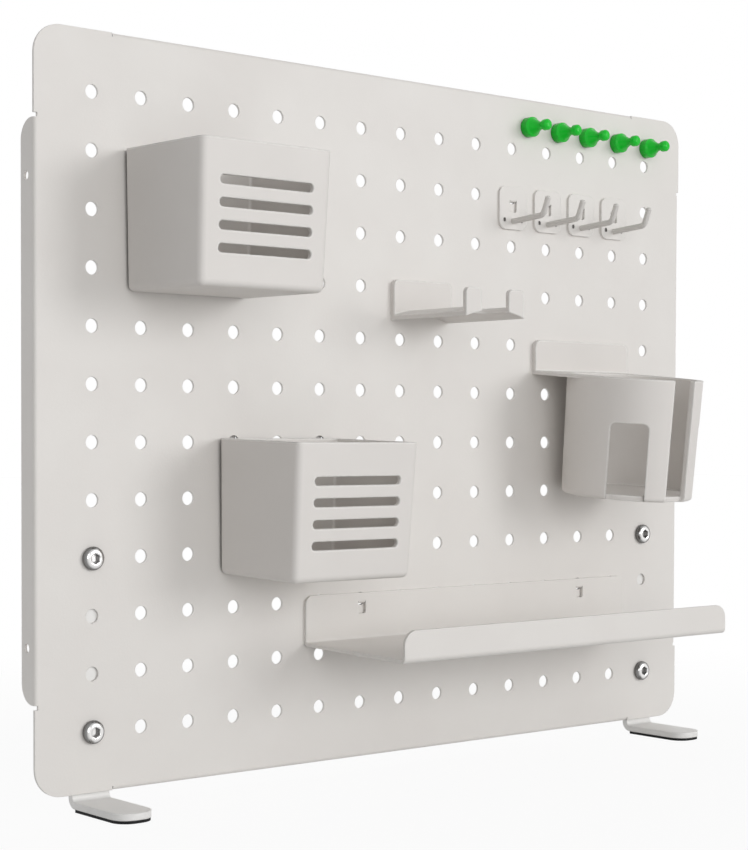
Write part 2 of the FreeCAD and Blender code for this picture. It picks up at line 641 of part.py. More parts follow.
def hook_wire(column):
    """Bent wire welded to a hook plate: a gentle rise forward, then an upturned tip."""
    slope = math.radians(HOOK_WIRE_SLOPE)
    tip = math.radians(HOOK_TIP_SLOPE)
    forward = Vector(0, -math.cos(slope), math.sin(slope))
    upward = Vector(0, -math.cos(tip), math.sin(tip))
    radius = HOOK_WIRE / 2
    root = Vector(0, -HOOK_SHEET, -HOOK_WIRE_BELOW_HOLE)
    corner = root + forward * (HOOK_WIRE_REACH / math.cos(slope))
    cut = HOOK_WIRE_BEND * math.tan((tip - slope) / 2)
    bend_start = corner - forward * cut
    end = corner + upward * HOOK_TIP_LENGTH
    centre = bend_start + Vector(0, math.sin(slope), math.cos(slope)) * HOOK_WIRE_BEND
    run = Part.makeCylinder(radius, (bend_start - root).Length + HOOK_WIRE,
                            root - forward * HOOK_WIRE, forward)
    section = Part.Face(Part.Wire(Part.makeCircle(radius, bend_start, forward)))
    bend = section.revolve(centre, RIGHT, -math.degrees(tip - slope))
    bend_end = corner + upward * cut
    straight = (end - bend_end).Length - HOOK_TIP_CHAMFER
    rise = Part.makeCylinder(radius, straight, bend_end, upward)
    point = Part.makeCone(radius, radius - HOOK_TIP_CHAMFER, HOOK_TIP_CHAMFER,
                          end - upward * HOOK_TIP_CHAMFER, upward)
    rod = run.fuse([bend, rise, point]).removeSplitter()
    rod = rod.cut(box(-HOOK_WIRE, HOOK_WIRE, -HOOK_SHEET, FAR_PAST, -FAR_PAST, FAR_PAST))
    return moved(rod, column_x(column), 0, row_z(HOOK_ROW))


def pin_grip(x, z):
    """Turned plastic grip of a push-pin magnet: base, waist and knob, with a pocket for the magnet."""
    base = PIN_BASE_DIAMETER / 2
    knob = PIN_KNOB_DIAMETER / 2
    shoulder = base - PIN_BASE_CHAMFER
    profile = [Vector(0, 0, 0), Vector(base, 0, 0), Vector(base, PIN_BASE_CHAMFER - PIN_BASE_LENGTH, 0),
               Vector(shoulder, -PIN_BASE_LENGTH, 0), Vector(PIN_NECK_DIAMETER / 2, -PIN_NECK_AT, 0),
               Vector(knob, -PIN_KNOB_AT, 0), Vector(PIN_TIP_DIAMETER / 2, -PIN_LENGTH, 0),
               Vector(0, -PIN_LENGTH, 0)]
    pocket = Part.makeCylinder(MAGNET_DIAMETER / 2 + MAGNET_POCKET_GAP, MAGNET_THICKNESS - MAGNET_PROUD,
                               Vector(0, MAGNET_PROUD - MAGNET_THICKNESS, 0), AWAY)
    return moved(turned_solid(profile).cut(pocket), x, -MAGNET_PROUD, z)


def pin_magnet(x, z):
    """Magnet disc in the back of a grip, held against the sheet."""
    return Part.makeCylinder(MAGNET_DIAMETER / 2, MAGNET_THICKNESS, Vector(x, -MAGNET_THICKNESS, z), AWAY)


def all_pieces():
    """Every separate piece by name, in the board's own frame."""
    pieces = {"panel": board()}
    sides = (("left", column_x(0)), ("right", column_x(HOLE_COLUMNS - 1)))
    for side, x in sides:
        pieces[side + "_foot"] = foot_bracket(x)
        pieces[side + "_foot_pad"] = foot_pad(x)
        for level, row in (("upper", FOOT_UPPER_ROW), ("lower", FOOT_LOWER_ROW)):
            pieces["_".join((side, level, "screw"))] = screw(x, row_z(row))
            pieces["_".join((side, level, "nut"))] = nut(x, row_z(row))
    pieces["upper_bin"] = moulded_bin(UPPER_BIN_COLUMN, UPPER_BIN_ROW, UPPER_BIN_LEAN, UPPER_BIN_OUT)
    pieces["lower_bin"] = moulded_bin(LOWER_BIN_COLUMN, LOWER_BIN_ROW, LOWER_BIN_LEAN, LOWER_BIN_OUT)
    pieces["headset_rest"] = headset_rest()
    pieces["cup_holder"] = cup_holder()
    pieces["tray"] = tray()
    for number, column in enumerate(HOOK_COLUMNS, 1):
        pieces["hook_plate_%d" % number] = hook_plate(column)
        pieces["hook_wire_%d" % number] = hook_wire(column)
    for number, (inward, down) in enumerate(zip(PINS_IN_FROM_SIDE, PINS_DOWN_FROM_TOP), 1):
        pieces["pin_grip_%d" % number] = pin_grip(HALF_WIDTH - inward, HALF_HEIGHT - down)
        pieces["pin_magnet_%d" % number] = pin_magnet(HALF_WIDTH - inward, HALF_HEIGHT - down)
    return pieces


def stand_on_desk(pieces):
    """Move all pieces so that the desk is Z = 0 and the footprint is centred on X = Y = 0."""
    extent = Part.makeCompound(list(pieces.values())).optimalBoundingBox(False)
    step = Vector(0, -(extent.YMin + extent.YMax) / 2, -DESK)
    for shape in pieces.values():
        shape.translate(step)
    print("grid centre on the front face is at", step)
    return pieces


def write_pieces(pieces):
    """Write one STEP file for each piece."""
    os.makedirs("parts", exist_ok=True)
    for name, shape in pieces.items():
        solid = shape.Solids[0] if len(shape.Solids) == 1 else shape
        print("%-20s solids %d valid %s volume %.1f mm3" % (
            name, len(shape.Solids), solid.isValid(), solid.Volume))
        solid.exportStep(os.path.join("parts", name + ".step"))


write_pieces(stand_on_desk(all_pieces()))
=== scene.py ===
"""Looks of a perforated steel pegboard on desk feet, with its hung and stuck-on accessories."""

import logging
import math
from dataclasses import dataclass, replace
from enum import Enum

import bpy
from mathutils import Euler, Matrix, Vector

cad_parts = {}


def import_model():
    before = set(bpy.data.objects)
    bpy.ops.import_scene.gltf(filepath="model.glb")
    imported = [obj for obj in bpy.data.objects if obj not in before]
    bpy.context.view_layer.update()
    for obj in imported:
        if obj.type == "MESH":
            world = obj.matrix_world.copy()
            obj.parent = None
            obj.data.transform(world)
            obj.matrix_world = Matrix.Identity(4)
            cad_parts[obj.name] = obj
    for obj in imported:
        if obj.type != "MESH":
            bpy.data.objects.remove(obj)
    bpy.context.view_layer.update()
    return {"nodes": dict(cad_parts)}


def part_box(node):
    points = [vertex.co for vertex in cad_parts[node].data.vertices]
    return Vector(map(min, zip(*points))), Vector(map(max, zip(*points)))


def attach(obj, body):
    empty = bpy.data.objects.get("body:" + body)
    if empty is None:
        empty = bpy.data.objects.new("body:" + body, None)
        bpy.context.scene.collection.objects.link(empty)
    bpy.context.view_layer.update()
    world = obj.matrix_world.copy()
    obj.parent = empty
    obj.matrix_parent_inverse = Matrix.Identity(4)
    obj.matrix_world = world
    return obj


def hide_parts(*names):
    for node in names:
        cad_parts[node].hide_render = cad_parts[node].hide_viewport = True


Colour = tuple[float, float, float]
Point = tuple[float, float, float]
Span = tuple[float, float]
Ring = list[Vector]
Nodes = dict[str, bpy.types.Object]
ShaderNode = bpy.types.Node
Tree = bpy.types.NodeTree
Socket = bpy.types.NodeSocket
Feed = Socket | float | tuple[float, ...]

LOG = logging.getLogger("scene")
BODY = "root"
HOOKS = 4
PINS = 5
MM = 0.001
WHITE: Colour = (1.0, 1.0, 1.0)
SHARP_ANGLE = math.radians(35)
BEVEL_SAMPLES = 4
PAINTED_SHADE_SAMPLES = 8
RISING: Span = (0.0, 1.0)
FALLING: Span = (1.0, 0.0)
# How far rounding turns the normal, as one minus the cosine, from no edge to a full edge, for the painted
# edge highlight.
EDGE_TURN: Span = (0.003, 0.06)
# Noise heights between which the painted highlight on an edge goes from its weakest to its full strength.
BREAKUP_NOISE: Span = (0.35, 0.65)
BREAKUP_STRENGTH: Span = (0.7, 1.0)
# Open part of the surroundings at which a crevice is fully shut and its painted shade is at full strength.
PAINTED_SHADE_SHUT = 0.1
# Part of the normal along the Y axis, from flank to face, and how much of the painted dark reflection on the
# flank it brings.
FLANK_LEAN: Span = (0.72, 0.99)
FLANK_REFLECTION_PART: Span = (0.8, 0.0)
# Turn away from the eye over which the painted dark reflection on the flank comes in.
FLANK_FACING: Span = (0.36, 0.66)


class Slot(Enum):
    """Material slots that the record names."""

    COATED_STEEL = "coated_steel"
    FOOT_STEEL = "foot_steel"
    MOULDED_PLASTIC = "moulded_plastic"
    GREEN_PLASTIC = "green_plastic"
    BRIGHT_STEEL = "bright_steel"
    MAGNET = "magnet"
    RUBBER = "rubber"


class Side(Enum):
    """The two ends of the board that carry a foot."""

    LEFT = "left"
    RIGHT = "right"


def linear(red: int, green: int, blue: int) -> Colour:
    """Turns an 8-bit screen colour into the linear colour that a shader takes.

    Args:
        red: Red on the screen, from 0 to 255.
        green: Green on the screen.
        blue: Blue on the screen.

    Returns:
        The linear colour, each part from 0 to 1.
    """
    def channel(value: int) -> float:
        """Turns one part of the colour."""
        part = value / 255
        return part / 12.92 if part <= 0.04045 else ((part + 0.055) / 1.055) ** 2.4

    return channel(red), channel(green), channel(blue)


class Graph:
    """Short way to place nodes in a tree and join them."""

    def __init__(self, tree: Tree) -> None:
        """Keeps the tree."""
        self.tree = tree

    def add(self, kind: str, settings: dict[str, str | int] | None = None, **inputs: Feed) -> ShaderNode:
        """Places one node.

        Args:
            kind: Blender's name of the node type, without its ShaderNode prefix.
            settings: Properties of the node itself.
            inputs: A value to set or a socket to join for each input socket. A socket goes by its name, with
                underscores for spaces, or by in_ and its number.

        Returns:
            The new node.
        """
        node = self.tree.nodes.new("ShaderNode" + kind)
        for name, value in (settings or {}).items():
            setattr(node, name, value)
        self.feed(node, **inputs)
        return node

    def feed(self, node: ShaderNode, **inputs: Feed) -> None:
        """Sets or joins input sockets of a node.

        Args:
            node: The node.
            inputs: Values and sockets, named as in add.
        """
        for name, value in inputs.items():
            socket = node.inputs[int(name[3:]) if name.startswith("in_") else name.replace("_", " ")]
            if isinstance(value, Socket):
                self.tree.links.new(value, socket)
            elif socket.type == "RGBA":
                socket.default_value = (*value, 1.0)
            else:
                socket.default_value = value

    def maths(self, operation: str, first: Feed, second: Feed = 0.0) -> Socket:
        """Places a Math node and returns its result."""
        return self.add("Math", {"operation": operation}, in_0=first, in_1=second).outputs[0]

    def vectors(self, operation: str, *given: Feed) -> ShaderNode:
        """Places a Vector Math node and returns it."""
        inputs = {f"in_{number}": value for number, value in enumerate(given)}
        return self.add("VectorMath", {"operation": operation}, **inputs)

    def spread(self, value: Feed, given: tuple[Feed, Feed], wanted: Span) -> Socket:
        """Maps a value from one span to another and holds it at the ends.

        Args:
            value: The value.
            given: Start and end of the span that the value runs through.
            wanted: What the result is at that start and end.

        Returns:
            The result of the Map Range node.
        """
        node = self.add("MapRange", Value=value, From_Min=given[0], From_Max=given[1], To_Min=wanted[0],
                        To_Max=wanted[1])
        return node.outputs["Result"]

    def noise(self, place: Feed, scale: Feed, detail: float, roughness: float = 0.5) -> Socket:
        """Places a Noise Texture and returns its height, which is 0.5 on average."""
        return self.add("TexNoise", Vector=place, Scale=scale, Detail=detail, Roughness=roughness).outputs[0]

    def bevel(self, radius: Feed) -> Socket:
        """Places a Bevel node and returns the normal of the surface with its edges rounded."""
        return self.add("Bevel", {"samples": BEVEL_SAMPLES}, Radius=radius).outputs[0]

    def mix(self, part: Feed, first: Feed, second: Feed) -> Socket:
        """Mixes two colours, all first at part 0 and all second at part 1, and returns the result."""
        return self.add("Mix", {"data_type": "RGBA"}, Factor=part, in_6=first, in_7=second).outputs[2]

    def group(self, tree: Tree, output: str, **inputs: Feed) -> Socket:
        """Places a node group with its own values.

        Args:
            tree: The node group.
            output: Name of the output to take.
            inputs: Values and sockets, named as in add.

        Returns:
            The output.
        """
        node = self.add("Group")
        node.node_tree = tree
        self.feed(node, **inputs)
        return node.outputs[output]


def new_group(name: str, inputs: dict[str, float], output: str) -> tuple[Graph, ShaderNode, ShaderNode]:
    """Starts a shader node group.

    Args:
        name: Name of the group.
        inputs: Float inputs with their default values.
        output: Name of its one float output.

    Returns:
        The graph of the group, its input node and its output node.
    """
    tree = bpy.data.node_groups.new(name, "ShaderNodeTree")
    for socket, default in inputs.items():
        made = tree.interface.new_socket(name=socket, in_out="INPUT", socket_type="NodeSocketFloat")
        made.default_value = default
    tree.interface.new_socket(name=output, in_out="OUTPUT", socket_type="NodeSocketFloat")
    return Graph(tree), tree.nodes.new("NodeGroupInput"), tree.nodes.new("NodeGroupOutput")


class Effects:
    """Node groups that the finishes share."""

    def __init__(self) -> None:
        """Builds every group once."""
        self.grain = self.build_grain()
        self.drift = self.build_drift()
        self.edges = self.build_edge_highlights()
        self.painted_shade = self.build_painted_shade()
        self.rings = self.build_rings()

    def build_grain(self) -> Tree:
        """Surface texture of a coat or a mould: broad waves with a finer grain on them.

        Returns:
            The node group, which puts out a height.
        """
        inputs = {"Wave Scale": 600.0, "Grain Scale": 3000.0, "Grain Part": 0.5}
        graph, given, result = new_group("surface_grain", inputs, "Height")
        place = graph.add("TexCoord").outputs["Object"]
        wave = graph.noise(place, given.outputs["Wave Scale"], detail=2.0, roughness=0.4)
        grain = graph.noise(place, given.outputs["Grain Scale"], detail=3.0, roughness=0.6)
        part = graph.maths("MULTIPLY", grain, given.outputs["Grain Part"])
        graph.feed(result, Height=graph.maths("ADD", wave, part))
        return graph.tree

    def build_drift(self) -> Tree:
        """Slow unevenness of colour and gloss over a surface.

        Returns:
            The node group, which puts out a tone from 0 to 1.
        """
        graph, given, result = new_group("slow_drift", {"Scale": 25.0, "Contrast": 1.0}, "Tone")
        place = graph.add("TexCoord").outputs["Object"]
        noise = graph.noise(place, given.outputs["Scale"], detail=4.0, roughness=0.55)
        centred = graph.maths("SUBTRACT", noise, 0.5)
        scaled = graph.maths("MULTIPLY", centred, given.outputs["Contrast"])
        graph.feed(result, Tone=graph.add("Clamp", Value=graph.maths("ADD", scaled, 0.5)).outputs[0])
        return graph.tree

    def build_edge_highlights(self) -> Tree:
        """Mask of the edges for a painted highlight, broken up by noise.

        Returns:
            The node group, which puts out 1 on an edge and 0 on the open surface.
        """
        graph, given, result = new_group("edge_highlight_mask", {"Radius": 0.0006, "Breakup Scale": 400.0}, "Mask")
        plain = graph.add("NewGeometry").outputs["Normal"]
        same_way = graph.vectors("DOT_PRODUCT", graph.bevel(given.outputs["Radius"]), plain).outputs["Value"]
        sharp = graph.spread(graph.maths("SUBTRACT", 1.0, same_way), EDGE_TURN, RISING)
        place = graph.add("TexCoord").outputs["Object"]
        noise = graph.noise(place, given.outputs["Breakup Scale"], detail=3.0)
        broken = graph.spread(noise, BREAKUP_NOISE, BREAKUP_STRENGTH)
        graph.feed(result, Mask=graph.maths("MULTIPLY", sharp, broken))
        return graph.tree

    def build_painted_shade(self) -> Tree:
        """Mask of the painted shade in narrow gaps and deep corners, read from ambient occlusion.

        Returns:
            The node group, which puts out 1 deep inside and 0 in the open.
        """
        graph, given, result = new_group("painted_shade_mask", {"Reach": 0.004, "Open Above": 0.5}, "Mask")
        # Painted shade: the less of the surroundings a point sees within the reach, the darker it is painted.
        seen = graph.add("AmbientOcclusion", {"samples": PAINTED_SHADE_SAMPLES}, Distance=given.outputs["Reach"])
        shut_to_open = (PAINTED_SHADE_SHUT, given.outputs["Open Above"])
        graph.feed(result, Mask=graph.spread(seen.outputs["AO"], shut_to_open, FALLING))
        return graph.tree

    def build_rings(self) -> Tree:
        """Fine turning marks round the Y axis of a piece as wide as it is high.

        Returns:
            The node group, which puts out a height.
        """
        graph, given, result = new_group("turning_marks", {"Rings": 40.0}, "Height")
        place = graph.add("TexCoord").outputs["Generated"]
        centred = graph.vectors("SUBTRACT", place, (0.5, 0.5, 0.5)).outputs[0]
        across = graph.vectors("MULTIPLY", centred, (1.0, 0.0, 1.0)).outputs[0]
        far = graph.vectors("LENGTH", across).outputs["Value"]
        count = graph.maths("MULTIPLY", far, given.outputs["Rings"])
        marks = graph.add("TexNoise", {"noise_dimensions": "1D"}, W=count, Scale=1.0, Detail=3.0)
        graph.feed(result, Height=marks.outputs[0])
        return graph.tree


@dataclass(frozen=True)
class Finish:
    """One finish: colours, gloss and the scale of its texture. Lengths in metres."""

    name: str
    slot: Slot
    colour: Colour
    second_colour: Colour
    # Lighter colour painted on edges as a highlight.
    edge_highlight_colour: Colour
    roughness: Span
    metallic: float = 0.0
    specular: float = 0.5
    wave_scale: float = 600.0
    grain_scale: float = 3000.0
    grain_part: float = 0.5
    rings: float = 0.0
    relief: float = 0.00002
    edge_radius: float = 0.0006
    drift_scale: float = 25.0
    drift_contrast: float = 1.6
    # Painted shade in gaps and corners: its colour, its reach, and how open a place is before it gets none.
    painted_shade_colour: Colour = (0.09, 0.085, 0.08)
    painted_shade_reach: float = 0.004
    painted_shade_open: float = 0.5
    # Dark colour painted on the flanks of turned pieces as a reflection.
    painted_reflection_colour: Colour | None = None

    def flank(self, graph: Graph) -> Socket:
        """Finds a turned piece's flank, where it leans away from the Y axis or from the eye, for a painted
        dark reflection.

        Args:
            graph: Nodes of the material.

        Returns:
            The mask, 1 on the flank.
        """
        normal = graph.add("SeparateXYZ", Vector=graph.add("TexCoord").outputs["Normal"])
        steep = graph.spread(graph.maths("ABSOLUTE", normal.outputs[1]), FLANK_LEAN, FLANK_REFLECTION_PART)
        facing = graph.add("LayerWeight", Blend=0.5).outputs["Facing"]
        return graph.maths("MAXIMUM", steep, graph.spread(facing, FLANK_FACING, RISING))

    def base_colour(self, graph: Graph, effects: Effects, drift: Socket) -> Socket:
        """Mixes a colour that drifts, with a painted highlight on edges, a painted dark reflection on flanks
        and painted shade in gaps and deep corners.

        Args:
            graph: Nodes of the material.
            effects: The shared node groups.
            drift: Slow unevenness from 0 to 1.

        Returns:
            The colour.
        """
        colour = graph.mix(drift, self.colour, self.second_colour)
        # Painted highlight: edges are lightened towards the edge highlight colour.
        edge = graph.group(effects.edges, "Mask", Radius=self.edge_radius)
        colour = graph.mix(edge, colour, self.edge_highlight_colour)
        # Painted reflection: the flanks of bright steel are darkened as if they mirrored dark surroundings.
        if self.painted_reflection_colour:
            colour = graph.mix(self.flank(graph), colour, self.painted_reflection_colour)
        # Painted shade: gaps, contacts and deep corners are darkened towards the shade colour.
        deep = graph.group(effects.painted_shade, "Mask", Reach=self.painted_shade_reach, Open_Above=self.painted_shade_open)
        return graph.mix(deep, colour, self.painted_shade_colour)

    def normal(self, graph: Graph, effects: Effects) -> Socket:
        """Rounds the edges and adds turning marks or the grain of a coat or a mould.

        Args:
            graph: Nodes of the material.
            effects: The shared node groups.

        Returns:
            The normal.
        """
        if self.rings:
            height = graph.group(effects.rings, "Height", Rings=self.rings)
        else:
            height = graph.group(effects.grain, "Height", Wave_Scale=self.wave_scale,
                                 Grain_Scale=self.grain_scale, Grain_Part=self.grain_part)
        bump = graph.add("Bump", Strength=1.0, Distance=self.relief, Height=height,
                         Normal=graph.bevel(self.edge_radius))
        return bump.outputs[0]

    def make(self, effects: Effects) -> bpy.types.Material:
        """Builds the material.

        Args:
            effects: The shared node groups.

        Returns:
            The material, ready to give to an object.
        """
        material = bpy.data.materials.new(self.name)
        material.use_nodes = True
        graph = Graph(material.node_tree)
        drift = graph.group(effects.drift, "Tone", Scale=self.drift_scale, Contrast=self.drift_contrast)
        graph.feed(material.node_tree.nodes["Principled BSDF"],
                   Base_Color=self.base_colour(graph, effects, drift),
                   Roughness=graph.spread(drift, RISING, self.roughness),
                   Metallic=self.metallic, Specular_IOR_Level=self.specular,
                   Normal=self.normal(graph, effects))
        return material


# Each finish's third colour is a lighter colour painted on its edges as a highlight; the dark colours given
# by name are painted shade in gaps and corners, and on bright steel a painted dark reflection on the flanks.
COAT = Finish("powder_coat", Slot.COATED_STEEL, linear(226, 223, 219), linear(222, 218, 214),
              linear(240, 238, 235), (0.42, 0.5), wave_scale=900.0, grain_scale=4200.0, relief=0.00003)
# Painted shade: the wire's coat is the board's coat made darker, to stand for the shade on the thin rods.
SHADED_WIRE_COAT = replace(COAT, name="shaded_wire_coat", colour=linear(212, 209, 205), second_colour=linear(207, 204, 200),
                    edge_radius=0.0003)
FOOT_COAT = Finish("foot_coat", Slot.FOOT_STEEL, linear(235, 234, 232), linear(230, 229, 227),
                   linear(244, 243, 241), (0.34, 0.42), wave_scale=900.0, grain_scale=4200.0,
                   edge_radius=0.0009)
PLASTIC = Finish("moulded_plastic", Slot.MOULDED_PLASTIC, linear(223, 219, 215), linear(219, 215, 211),
                 linear(254, 252, 249), (0.44, 0.54), wave_scale=1600.0, grain_scale=6000.0,
                 edge_radius=0.0014, painted_shade_colour=(0.3, 0.29, 0.28))
GREEN = Finish("green_plastic", Slot.GREEN_PLASTIC, (0.002, 0.64, 0.03), (0.001, 0.55, 0.022),
               (0.06, 0.78, 0.12), (0.12, 0.2), specular=0.28, wave_scale=500.0, relief=0.000006,
               painted_shade_colour=(0.0, 0.16, 0.008), painted_shade_reach=0.007, painted_shade_open=0.95)
STEEL = Finish("bright_steel", Slot.BRIGHT_STEEL, (0.9, 0.89, 0.88), (0.8, 0.79, 0.78),
               (0.95, 0.94, 0.93), (0.1, 0.18), metallic=1.0, rings=60.0, relief=0.000006,
               edge_radius=0.0003, painted_reflection_colour=(0.06, 0.06, 0.06))
MAGNET = Finish("magnet", Slot.MAGNET, (0.5, 0.49, 0.47), (0.42, 0.41, 0.4), (0.62, 0.61, 0.6),
                (0.25, 0.35), metallic=1.0, rings=30.0, relief=0.00001, edge_radius=0.0003)
RUBBER = Finish("rubber", Slot.RUBBER, (0.008, 0.008, 0.009), (0.014, 0.014, 0.015), (0.03, 0.03, 0.03),
                (0.6, 0.75), specular=0.15, wave_scale=1200.0, grain_scale=5000.0, relief=0.00004)


class Wardrobe:
    """Makes each finish once and dresses nodes in it."""

    def __init__(self, nodes: Nodes) -> None:
        """Builds the shared effects.

        Args:
            nodes: The nodes of the part by name.
        """
        self.nodes = nodes
        self.effects = Effects()
        self.made: dict[str, bpy.types.Material] = {}

    def material(self, finish: Finish) -> bpy.types.Material:
        """Makes the material of a finish, or finds it when it is already made.

        Args:
            finish: The finish.

        Returns:
            The material.
        """
        if finish.name not in self.made:
            self.made[finish.name] = finish.make(self.effects)
        return self.made[finish.name]

    def dress(self, node: str, finish: Finish) -> None:
        """Gives a node of the part its finish.

        Args:
            node: Name of the node.
            finish: The finish that it wears.
        """
        for place in self.nodes[node].material_slots:
            place.material = self.material(finish)
        LOG.info("%s wears %s", node, finish.name)

    def fit(self, piece: bpy.types.Object, finish: Finish, node: str) -> None:
        """Puts a detailed piece in the place of a node.

        Args:
            piece: The detailed piece, already at its place.
            finish: The finish that it wears.
            node: Name of the node that it stands for.
        """
        piece.data.materials.append(self.material(finish))
        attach(piece, BODY)
        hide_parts(node)
        LOG.info("%s stands for %s", piece.name, node)


def circle(radius: float, out: float, points: int) -> Ring:
    """Ring of points about the Y axis, at a distance out towards the viewer."""
    return [Vector((radius * math.cos(math.tau * n / points), -out, radius * math.sin(math.tau * n / points)))
            for n in range(points)]


def hexagon(across: float, out: float, points: int, limit: float = math.inf) -> Ring:
    """Makes a hexagonal ring about the Y axis, with flats at its right and left.

    Args:
        across: Width across the flats.
        out: Distance out towards the viewer.
        points: Number of points.
        limit: Largest radius, to which the corners are cut back.

    Returns:
        The ring.
    """
    ring = []
    for n in range(points):
        turn = math.tau * n / points
        off = (turn + math.pi / 6) % (math.pi / 3) - math.pi / 6
        radius = min(across / 2 / math.cos(off), limit)
        ring.append(Vector((radius * math.cos(turn), -out, radius * math.sin(turn))))
    return ring


def skin(name: str, rings: list[Ring], close: bool = False) -> bpy.types.Object:
    """Joins rings of equally many points into a smooth shaded piece.

    Args:
        name: Name of the piece.
        rings: The rings in order, from the first end to the last, in millimetres.
        close: Joins the last ring to the first in place of capping both ends.

    Returns:
        The new object, linked to the scene, in its own coordinates.
    """
    count = len(rings[0])
    points = [tuple(point * MM) for ring in rings for point in ring]
    faces = []
    for level in range(len(rings) if close else len(rings) - 1):
        low = level * count
        high = (level + 1) % len(rings) * count
        for n in range(count):
            after = (n + 1) % count
            faces.append((low + n, low + after, high + after, high + n))
    if not close:
        faces.append(tuple(reversed(range(count))))
        faces.append(tuple(range(len(points) - count, len(points))))
    mesh = bpy.data.meshes.new(name)
    mesh.from_pydata(points, [], faces)
    mesh.shade_smooth()
    mesh.set_sharp_from_angle(angle=SHARP_ANGLE)
    piece = bpy.data.objects.new(name, mesh)
    bpy.context.scene.collection.objects.link(piece)
    return piece


def rounded(corners: tuple[Point, ...], steps: int = 5) -> list[Span]:
    """Rounds the corners of an open profile.

    Args:
        corners: Radius, distance out and rounding radius of each corner, in millimetres.
        steps: Number of pieces that each rounding is made of.

    Returns:
        Radius and distance out of each point, in millimetres.
    """
    points = []
    for index, (radius, out, rounding) in enumerate(corners):
        if rounding <= 0 or index in (0, len(corners) - 1):
            points.append((radius, out))
            continue
        here = Vector((radius, out))
        before = (Vector(corners[index - 1][:2]) - here).normalized()
        after = (Vector(corners[index + 1][:2]) - here).normalized()
        reach = rounding / math.tan(before.angle(after) / 2)
        start, end = here + before * reach, here + after * reach
        for step in range(steps + 1):
            part = step / steps
            point = start.lerp(here, part).lerp(here.lerp(end, part), part)
            points.append((point.x, point.y))
    return points


@dataclass
class Board:
    """The perforated sheet."""

    node: str = "panel"

    def dress(self, wardrobe: Wardrobe) -> None:
        """Coats the sheet."""
        wardrobe.dress(self.node, COAT)


@dataclass
class Screw:
    """Button-head screw: domed head with a hex socket, and a threaded shank. Sizes in millimetres.

    Each step under_edge is an inset from the head's radius and a height above its underside. The crest lies
    before each full turn of the thread and the root behind it, by those parts of the pitch.
    """

    node: str
    head: float = 10.5
    height: float = 3.3
    flat: float = 5.6
    land: float = 1.0
    under_edge: tuple[Span, ...] = ((0.15, 0.5), (0.5, 0.15), (0.8, 0.0))
    dome_steps: int = 12
    socket: float = 4.0
    socket_depth: float = 2.0
    socket_mouth: float = 4.96
    socket_chamfer: float = 0.25
    shank: float = 6.0
    tip_chamfer: float = 0.7
    pitch: float = 1.0
    thread: float = 0.45
    crest_part: float = 0.1
    root_part: float = 0.4
    points: int = 48

    def head_rings(self) -> list[Ring]:
        """Shapes the head.

        Returns:
            The rings from the socket's floor over the dome to the underside.
        """
        n = self.points
        rings = [hexagon(self.socket, self.height - self.socket_depth, n),
                 hexagon(self.socket, self.height - self.socket_chamfer, n),
                 circle(self.socket_mouth / 2, self.height, n), circle(self.flat / 2, self.height, n)]
        dome, rise = (self.head - self.flat) / 2, self.height - self.land
        for step in range(1, self.dome_steps):
            part = math.sin(step / self.dome_steps * math.pi / 2)
            rings.append(circle(self.flat / 2 + dome * part, self.land + rise * (1 - part ** 2) ** 0.5, n))
        rings.append(circle(self.head / 2, self.land, n))
        rings += [circle(self.head / 2 - inset, out, n) for inset, out in self.under_edge]
        return rings

    def shank_rings(self, length: float) -> list[Ring]:
        """Shapes the threaded shank.

        Args:
            length: Length of the shank.

        Returns:
            The rings from the head's underside to the tip, a crest and a root for each turn.
        """
        n, crest, root = self.points, self.shank / 2, self.shank / 2 - self.thread
        rings = [circle(crest, 0.0, n)]
        depth = self.pitch
        while depth < length - self.pitch:
            rings.append(circle(crest, -depth + self.pitch * self.crest_part, n))
            rings.append(circle(root, -depth - self.pitch * self.root_part, n))
            depth += self.pitch
        return rings + [circle(crest, -length + self.tip_chamfer, n),
                        circle(crest - self.tip_chamfer, -length, n)]

    def build(self, wardrobe: Wardrobe) -> None:
        """Makes the screw in the place of its node.

        Args:
            wardrobe: Finishes and nodes of the part.
        """
        low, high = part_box(self.node)
        length = (high.y - low.y) / MM - self.height
        piece = skin(self.node + "_detail", self.head_rings() + self.shank_rings(length))
        piece.location = ((low.x + high.x) / 2, low.y + self.height * MM, (low.z + high.z) / 2)
        wardrobe.fit(piece, STEEL, self.node)


@dataclass
class Nut:
    """Hex nut with chamfered corners. Sizes in millimetres.

    The face is the diameter of its round flat. Each of the corner_levels is a depth below the face, and how
    far past the face's radius the corners reach there.
    """

    node: str
    across: float = 10.0
    bore: float = 6.1
    bore_chamfer: float = 0.4
    face: float = 9.8
    corner_levels: tuple[Span, ...] = ((0.0, 0.0), (0.15, 0.35), (0.35, 0.6), (0.6, math.inf))
    points: int = 72

    def rings(self, height: float) -> list[Ring]:
        """Shapes the nut.

        Args:
            height: Height from face to face.

        Returns:
            The rings from inside the bore round the outside and back into the bore.
        """
        n, bore = self.points, self.bore / 2
        levels = [(out, self.face / 2 + growth) for out, growth in self.corner_levels]
        front = [circle(bore, self.bore_chamfer, n), circle(bore + self.bore_chamfer, 0.0, n)]
        front += [hexagon(self.across, out, n, limit) for out, limit in levels]
        back = [hexagon(self.across, height - out, n, limit) for out, limit in reversed(levels)]
        back += [circle(bore + self.bore_chamfer, height, n), circle(bore, height - self.bore_chamfer, n)]
        return front + back

    def build(self, wardrobe: Wardrobe) -> None:
        """Makes the nut in the place of its node.

        Args:
            wardrobe: Finishes and nodes of the part.
        """
        low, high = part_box(self.node)
        piece = skin(self.node + "_detail", self.rings((high.y - low.y) / MM), close=True)
        piece.location = ((low.x + high.x) / 2, high.y, (low.z + high.z) / 2)
        wardrobe.fit(piece, STEEL, self.node)


